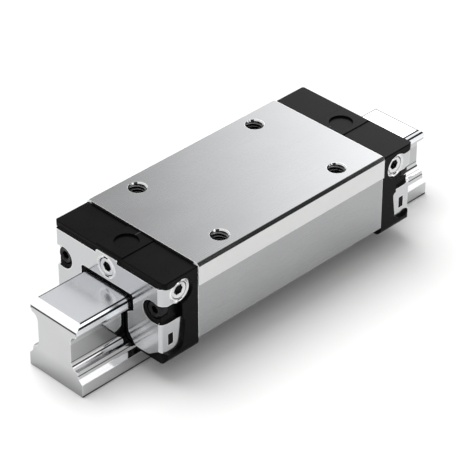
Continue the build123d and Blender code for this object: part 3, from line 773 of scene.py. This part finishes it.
class RUNNER_OT_body(Operator):
    """Finish the steel body and cut the threads in its mounting holes"""

    bl_idname = "runner_block.body"
    bl_label = "Steel body"

    def execute(self, context):
        edges, sizes = settings().edges, settings().fasteners
        dress("block_body", "block", edges.chamfer, edges.steel)
        mount = next(m for m in frame["record"]["mounts"] if m["name"] == "carriage_bolts")
        across, apart = (mount["dims"][key] * MM / 2 for key in ("spacing_x_mm", "spacing_y_mm"))
        radius = mount["dims"]["hole_r_mm"] * MM
        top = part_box("block_body")[1].z
        reach = sizes.thread_depth * MOUTH_BEVEL
        mouth = [(radius, 0), (radius - reach, -reach), (radius, -2 * reach)]
        shape = bmesh.new()
        for x in (-across, across):
            for y in (-apart, apart):
                place = Matrix.Translation((x, y, top))
                add_thread(shape, place, radius, radius - sizes.thread_depth, sizes.thread_pitch,
                           THREAD_BOTTOM, THREAD_TURNS)
                # The mouth's bevel: painted highlights on two arcs, painted shade in the dark thread finish
                # elsewhere
                add_collar(shape, mouth, place, mouth_has_highlight)
        new_piece("mount_threads", shape, ["thread", "bright", "socket"])
        return {"FINISHED"}


GATE_RADIUS = 0.25 * MM
GATE_LENGTH = 2.2 * MM
GATE_TAPER = 0.2 * MM
GATE_ASIDE = 0.4 * MM


class RUNNER_OT_end_caps(Operator):
    """Finish the moulded end caps and model the moulding gate's mark on each"""

    bl_idname = "runner_block.end_caps"
    bl_label = "End caps"

    def execute(self, context):
        dress_ends("end_cap", "cap", settings().edges.plastic)
        gate = round_ring(GATE_RADIUS)
        rings = [(0, gate), (GATE_LENGTH - GATE_TAPER, gate), (GATE_LENGTH, round_ring(GATE_RADIUS / 2))]
        for end, way in ENDS:
            low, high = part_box(f"end_cap_{end}")
            steel = low.x if way > 0 else high.x
            place = looking_along((way, 0, 0), (steel, GATE_ASIDE, high.z - GATE_RADIUS / 2))
            shape = bmesh.new()
            add_turned(shape, rings, place, 16)
            new_piece(f"gate_mark_{end}", shape, ["inner"])
        return {"FINISHED"}


class RUNNER_OT_end_plates(Operator):
    """Finish the polished end plates and the seals, and model the rings pressed up round the ports"""

    bl_idname = "runner_block.end_plates"
    bl_label = "End plates and seals"

    def execute(self, context):
        edges = settings().edges
        dress_ends("end_plate", "plate", edges.sheet)
        dress_ends("end_seal", "rubber", edges.rubber)
        dress_sides("side_seal", "rubber", edges.rubber)
        for end, way in ENDS:
            shape = bmesh.new()
            for low, high in islands(f"port_screws_{end}"):
                axis, reach, radius = screw_axis(low, high, way)
                place = looking_along(axis, (low + high) / 2 + axis * reach / 2)
                add_port_ring(shape, place, radius, settings().fasteners.ring_height)
            new_piece(f"port_rings_{end}", shape, ["bright", "rubber"])
        return {"FINISHED"}


def screw_axis(low, high, way):
    """Outward direction, length and radius of a port screw from its box."""
    size = high - low
    centre = (low + high) / 2
    radius = size.z / 2
    if abs(centre.y) < radius:
        return Vector((way, 0, 0)), size.x, radius
    return Vector((0, 1 if centre.y > 0 else -1, 0)), size.y, radius


# Half the turn that each painted shade notch in a port's ring takes, in radians; it is painted in black
# rubber
SHADE_NOTCH_HALF = 0.28


def add_port_ring(shape, place, radius, height):
    """Adds the ring pressed up round a port: an inner lip and a valley, with painted shade in black rubber
    at the top and at the bottom, and an outer bead."""
    sunk = -0.02 * MM
    valley = height * 0.1
    inner = radius + 0.15 * MM
    bead = radius + 0.55 * MM
    outer = radius + 1.05 * MM
    add_collar(shape, [(inner, sunk), (inner, height * 0.5), (inner + 0.2 * MM, height * 0.6),
                       (inner + 0.35 * MM, valley), (bead, valley)],
               place, lambda turn: abs(abs(turn - pi) - pi / 2) < SHADE_NOTCH_HALF)
    add_collar(shape, [(bead, sunk), (bead, valley), (outer - 0.3 * MM, height), (outer - 0.12 * MM, height),
                       (outer, sunk)], place)


class RUNNER_OT_cap_screws(Operator):
    """Model the knurled socket screws that hold the end caps"""

    bl_idname = "runner_block.cap_screws"
    bl_label = "Cap screws"

    def execute(self, context):
        sizes = settings().fasteners
        for end, way in ENDS:
            node = f"cap_screws_{end}"
            shape = bmesh.new()
            for low, high in islands(node):
                centre = (low + high) / 2
                head = (high.y - low.y) / 2
                face = high.x if way > 0 else low.x
                tip = low.x if way > 0 else high.x
                reach = abs(face - tip)
                place = looking_along((way, 0, 0), (tip, centre.y, centre.z))
                add_cap_screw(shape, place, reach, head, sizes)
            new_piece(node + "_turned", shape, ["oxide"], [node])
        return {"FINISHED"}


# An M3 cap screw: diameters of its thread and its head, and its socket's width and depth
CAP_THREAD, CAP_HEAD, CAP_SOCKET, CAP_SOCKET_DEPTH = 3.0, 5.5, 2.5, 1.5
KNURL_DEPTH = 0.12 * MM

# Radius of its tip, as a share of the thread's, and of its seat, as a share of the head's
CAP_TIP, CAP_SEAT = 0.7, 0.94


def add_cap_screw(shape, place, reach, head, sizes):
    """Adds one socket screw, from its tip at 0 to its face at reach, with a head of the given radius."""
    shank = head * CAP_THREAD / CAP_HEAD
    seat = reach - 2 * shank
    socket = 2 * head * CAP_SOCKET / CAP_HEAD
    rim = sizes.rim_chamfer
    knurled = knurled_ring(head, sizes.knurls, KNURL_DEPTH)
    rings = [
        (0, round_ring(shank * CAP_TIP)), (shank * 0.3, round_ring(shank)), (seat, round_ring(shank)),
        (seat, round_ring(head * CAP_SEAT)), (seat + rim / 2, knurled), (reach - rim, knurled),
        (reach, round_ring(head - rim)), (reach, round_ring(hexagon_corner(socket) + sizes.socket_round)),
        (reach - sizes.socket_round, hexagon_ring(socket)),
        (reach - CAP_SOCKET_DEPTH * MM, hexagon_ring(socket)),
    ]
    add_turned(shape, rings, place, sizes.knurls * 4)


class RUNNER_OT_port_screws(Operator):
    """Model the socket set screws that close the lube ports"""

    bl_idname = "runner_block.port_screws"
    bl_label = "Port screws"

    def execute(self, context):
        sizes = settings().fasteners
        for end, way in ENDS:
            node = f"port_screws_{end}"
            shape = bmesh.new()
            for low, high in islands(node):
                axis, reach, radius = screw_axis(low, high, way)
                place = looking_along(axis, (low + high) / 2 - axis * reach / 2)
                add_set_screw(shape, place, reach, radius, sizes)
            new_piece(node + "_turned", shape, ["bright", "socket"], [node])
        return {"FINISHED"}


# A port's set screw: its socket's width for its radius, its thread's depth, its tip's radius for its core's,
# and its tip's length
SET_SOCKET_SHARE = 3.0 / 2.9
SET_THREAD_DEPTH = 0.35 * MM
SET_TIP = 0.8
SET_TIP_LENGTH = 0.4 * MM


def add_set_screw(shape, place, reach, radius, sizes):
    """Adds one socket set screw, from its tip at 0 to its face at reach, its socket in the second finish."""
    socket = radius * SET_SOCKET_SHARE
    rim = sizes.rim_chamfer
    core = radius - SET_THREAD_DEPTH
    outside_rings = [
        (0, round_ring(core * SET_TIP)), (SET_TIP_LENGTH, round_ring(core)),
        (reach - 2 * rim, round_ring(core)), (reach - 2 * rim, round_ring(radius)),
        (reach - rim, round_ring(radius)),
        (reach, round_ring(radius - rim)), (reach, round_ring(hexagon_corner(socket) + sizes.socket_round)),
    ]
    socket_rings = [(reach - sizes.socket_round, hexagon_ring(socket)), (reach / 2, hexagon_ring(socket))]
    add_turned(shape, outside_rings + socket_rings, place, second_from=len(outside_rings))


class RUNNER_OT_balls(Operator):
    """Model the smooth steel balls of the four circuits"""

    bl_idname = "runner_block.balls"
    bl_label = "Ball circuits"

    def execute(self, context):
        for row in ("lower", "upper"):
            for side in SIDES:
                node = f"balls_{row}_{side}"
                shape = bmesh.new()
                for low, high in islands(node):
                    bmesh.ops.create_icosphere(shape, subdivisions=3, radius=settings().fasteners.ball / 2,
                                               matrix=Matrix.Translation((low + high) / 2))
                new_piece(node + "_round", shape, ["ball"], [node])
        return {"FINISHED"}


class RUNNER_OT_inside(Operator):
    """Finish the raceway inserts, retainers, turn guides and reservoirs inside the block"""

    bl_idname = "runner_block.inside"
    bl_label = "Inner pieces"

    def execute(self, context):
        dress_sides("raceway_insert", "rail")
        dress_sides("middle_retainer", "inner")
        dress_sides("lower_retainer", "inner")
        dress("upper_retainer", "inner")
        dress_ends("turn_guides", "inner")
        dress_ends("lube_reservoir", "foam")
        return {"FINISHED"}


# Studio

VIEW_AZIMUTH = radians(-44.987)
VIEW_ELEVATION = radians(34.913)
FOCAL_PIXELS = 2399.95
PICTURE = 466
AIM_HEIGHT = 36 * MM
AIM_DEPTH = 724.5 * MM
AIM_PIXEL = (237.70, 177.62)


def view_axes():
    """Unit vectors to the right, up and back from the camera's view of the object."""
    back = Vector((sin(VIEW_AZIMUTH) * cos(VIEW_ELEVATION), -cos(VIEW_AZIMUTH) * cos(VIEW_ELEVATION),
                   sin(VIEW_ELEVATION)))
    right = Vector((cos(VIEW_AZIMUTH), sin(VIEW_AZIMUTH), 0))
    return right, back.cross(right), back


def add_camera():
    """The photograph's camera: the aim point lies at its own pixel and depth."""
    right, up, back = view_axes()
    aside, below_middle = ((pixel - PICTURE / 2) * AIM_DEPTH / FOCAL_PIXELS for pixel in AIM_PIXEL)
    camera = bpy.data.objects.new("camera", bpy.data.cameras.new("camera"))
    bpy.context.scene.collection.objects.link(camera)
    camera.data.sensor_width = 36.0
    camera.data.lens = camera.data.sensor_width * FOCAL_PIXELS / PICTURE
    camera.data.clip_start = 0.01
    camera.location = Vector((0, 0, AIM_HEIGHT)) + back * AIM_DEPTH - right * aside + up * below_middle
    camera.rotation_mode = "QUATERNION"
    camera.rotation_quaternion = Matrix((right, up, back)).transposed().to_quaternion()
    bpy.context.scene.camera = camera


SOFTBOX_PLACE = Vector((0.05, 0.65, 1.8))
SOFTBOX_TARGET = Vector((0, 0, 0.02))
SOFTBOX_SIZE = 1.35


def add_softbox():
    """A large lamp high past the far side, which lights the object and shows in no reflection."""
    lamp = bpy.data.lights.new("overhead_softbox", "AREA")
    lamp.shape = "RECTANGLE"
    lamp.size = lamp.size_y = SOFTBOX_SIZE
    lamp.energy = settings().studio.key
    softbox = bpy.data.objects.new("overhead_softbox", lamp)
    bpy.context.scene.collection.objects.link(softbox)
    softbox.location = SOFTBOX_PLACE
    softbox.rotation_mode = "QUATERNION"
    softbox.rotation_quaternion = (SOFTBOX_PLACE - SOFTBOX_TARGET).to_track_quat("Z", "Y")
    softbox.visible_camera = False
    softbox.visible_glossy = False


def seen_directly(tree):
    """1 for rays that show the surroundings: those of the camera, of reflections and through glass."""
    path = add_node(tree, "ShaderNodeLightPath").outputs
    seen = either(tree, path["Is Camera Ray"], path["Is Glossy Ray"])
    return either(tree, seen, path["Is Transmission Ray"])


def add_world():
    """A white room: plain white to look at, and dimmer as a light on the object."""
    world = bpy.data.worlds.new("white_room")
    bpy.context.scene.world = world
    world.use_nodes = True
    tree = world.node_tree
    tree.nodes.clear()
    strength = spread(tree, seen_directly(tree), settings().studio.world, 1.0, (0.0, 1.0))
    light = add_node(tree, "ShaderNodeBackground", {"Color": (1.0, 1.0, 1.0, 1.0), "Strength": strength})
    add_node(tree, "ShaderNodeOutputWorld", {"Surface": light.outputs["Background"]})


FLOOR_RADIUS = 3.0
FLOOR_FADE = (0.4, 1.2)


def add_floor():
    """A pale floor that keeps the object's shadow and fades into the white room."""
    shape = bmesh.new()
    bmesh.ops.create_circle(shape, cap_ends=True, segments=96, radius=FLOOR_RADIUS)
    floor = bpy.data.objects.new("floor", mesh_from(shape, "floor"))
    bpy.context.scene.collection.objects.link(floor)
    material, tree, shader = start_finish("pale_floor")
    tone = settings().studio.floor
    place = add_node(tree, "ShaderNodeTexCoord").outputs["Object"]
    far = add_node(tree, "ShaderNodeVectorMath", {0: place}, operation="LENGTH").outputs["Value"]
    fade = both(tree, seen_directly(tree), above(tree, far, *FLOOR_FADE))
    tree.links.new(mix_colours(tree, noise(tree, (8, 8, 8)), shade(tone, 0.995), shade(tone, 1.005)),
                   shader.inputs["Base Color"])
    shader.inputs["Roughness"].default_value = 0.9
    shader.inputs["Specular IOR Level"].default_value = 0.0
    clear = add_node(tree, "ShaderNodeBsdfTransparent")
    blend = add_node(tree, "ShaderNodeMixShader",
                     {0: fade, 1: shader.outputs["BSDF"], 2: clear.outputs["BSDF"]})
    tree.links.new(blend.outputs["Shader"], tree.nodes["Material Output"].inputs["Surface"])
    floor.data.materials.append(material)


def add_card(name, middle, toward, half_width, half_height, brightness=1.0):
    """A glowing card past the object that only reflections see, facing back against toward; returns its node
    tree and the socket of its brightness."""
    shape = bmesh.new()
    bmesh.ops.create_grid(shape, x_segments=1, y_segments=1, size=1.0,
                          matrix=Matrix.Diagonal((half_width, half_height, 1.0, 1.0)))
    card = bpy.data.objects.new(name, mesh_from(shape, name))
    bpy.context.scene.collection.objects.link(card)
    back = -toward.normalized()
    aside = Vector((0, 0, 1)).cross(back).normalized()
    card.location = middle
    card.rotation_mode = "QUATERNION"
    card.rotation_quaternion = Matrix((aside, back.cross(aside), back)).transposed().to_quaternion()
    for kind in ("camera", "diffuse", "shadow", "transmission"):
        setattr(card, "visible_" + kind, False)
    material = bpy.data.materials.new(name)
    material.use_nodes = True
    tree = material.node_tree
    tree.nodes.clear()
    glow = add_node(tree, "ShaderNodeEmission", {"Strength": brightness})
    add_node(tree, "ShaderNodeOutputMaterial", {"Surface": glow.outputs["Emission"]})
    card.data.materials.append(material)
    return tree, glow.inputs["Strength"]


# Where the camera's view goes on to when a face mirrors it: the body's top, and the slopes along the right
# of the body and of the rail's foot. The third way is level, and lies across the second.
PAST_TOP = Vector((0.58, 0.58, 0.572))
PAST_SLOPES = Vector((0.58, -0.572, 0.58))
ALONG_SLOPES = Vector((0.712, 0.702, 0))
RIGHT_EDGE = Vector((0, -0.024, AIM_HEIGHT))
FAR_CARD_DISTANCE = 0.3
SLOPE_CARD_DISTANCE = 0.4


def add_far_card():
    """A graded card past the far end: the ground top mirrors it, dark at the near left to bright at the
    far right."""
    studio = settings().studio
    middle = Vector((0, 0, AIM_HEIGHT)) + PAST_TOP * FAR_CARD_DISTANCE
    tree, strength = add_card("far_card", middle, PAST_TOP, 0.2, 0.2)
    place = place_of(tree)
    aside = maths(tree, "MULTIPLY", place["X"], studio.card_slope)
    upward = maths(tree, "MULTIPLY", place["Y"], studio.card_slope * studio.card_tilt)
    ramp = maths(tree, "ADD", maths(tree, "SUBTRACT", aside, upward), studio.card_middle)
    held = add_node(tree, "ShaderNodeClamp", {"Value": ramp, "Min": 0.73, "Max": 2.8}).outputs["Result"]
    tree.links.new(held, strength)


def add_slope_cards():
    """A black card on the right, where the chamfer along the body's top edge mirrors it, and white cards
    past both its sides, which the rail's foot mirrors."""
    middle = RIGHT_EDGE + PAST_SLOPES * SLOPE_CARD_DISTANCE
    add_card("black_flag", middle, PAST_SLOPES, 0.058, 0.06, brightness=0.07)
    for name, reach in (("near_bounce", -0.135), ("far_bounce", 0.137)):
        lower = middle + ALONG_SLOPES * reach - Vector((0, 0, 0.03))
        add_card(name, lower, PAST_SLOPES, 0.07, 0.18, brightness=1.9)


def add_bevel_card():
    """A white card that the strip's slope at the near end mirrors."""
    toward = Vector((-0.44, 0.58, 0.685))
    add_card("bevel_bounce", toward * 0.6, toward, 0.055, 0.055, brightness=1.4)


class RUNNER_OT_studio(Operator):
    """Set up the camera, the floor and the lights"""

    bl_idname = "runner_block.studio"
    bl_label = "Studio"

    def execute(self, context):
        add_camera()
        add_world()
        add_floor()
        add_slope_cards()
        add_bevel_card()
        add_far_card()
        add_softbox()
        context.scene.view_settings.view_transform = "Standard"
        return {"FINISHED"}


class RUNNER_PT_panel(Panel):
    """Buttons and sizes for the runner block"""

    bl_idname = "RUNNER_PT_panel"
    bl_label = "Ball runner block"
    bl_space_type = "VIEW_3D"
    bl_region_type = "UI"
    bl_category = "Runner Block"

    def draw(self, context):
        layout = self.layout
        for operator in OPERATORS:
            layout.operator(operator.bl_idname)
        for group_name in ("edges", "fasteners", "finishes", "studio"):
            group = getattr(settings(), group_name)
            column = layout.box().column()
            for key in group.__annotations__:
                column.prop(group, key)


SETTINGS = (EdgeSettings, FastenerSettings, FinishSettings, StudioSettings, RunnerBlockSettings)
OPERATORS = (RUNNER_OT_studio, RUNNER_OT_rail, RUNNER_OT_body, RUNNER_OT_end_caps, RUNNER_OT_end_plates,
             RUNNER_OT_cap_screws, RUNNER_OT_port_screws, RUNNER_OT_balls, RUNNER_OT_inside)


def register():
    for group in SETTINGS + OPERATORS + (RUNNER_PT_panel,):
        bpy.utils.register_class(group)
    bpy.types.Scene.runner_block = PointerProperty(type=RunnerBlockSettings)


def unregister():
    del bpy.types.Scene.runner_block
    for group in reversed(SETTINGS + OPERATORS + (RUNNER_PT_panel,)):
        bpy.utils.unregister_class(group)


def main():
    register()
    bpy.ops.runner_block.studio()
    bpy.ops.runner_block.rail()
    bpy.ops.runner_block.body()
    bpy.ops.runner_block.end_caps()
    bpy.ops.runner_block.end_plates()
    bpy.ops.runner_block.cap_screws()
    bpy.ops.runner_block.port_screws()
    bpy.ops.runner_block.balls()
    bpy.ops.runner_block.inside()


if __name__ == "__main__":
    main()
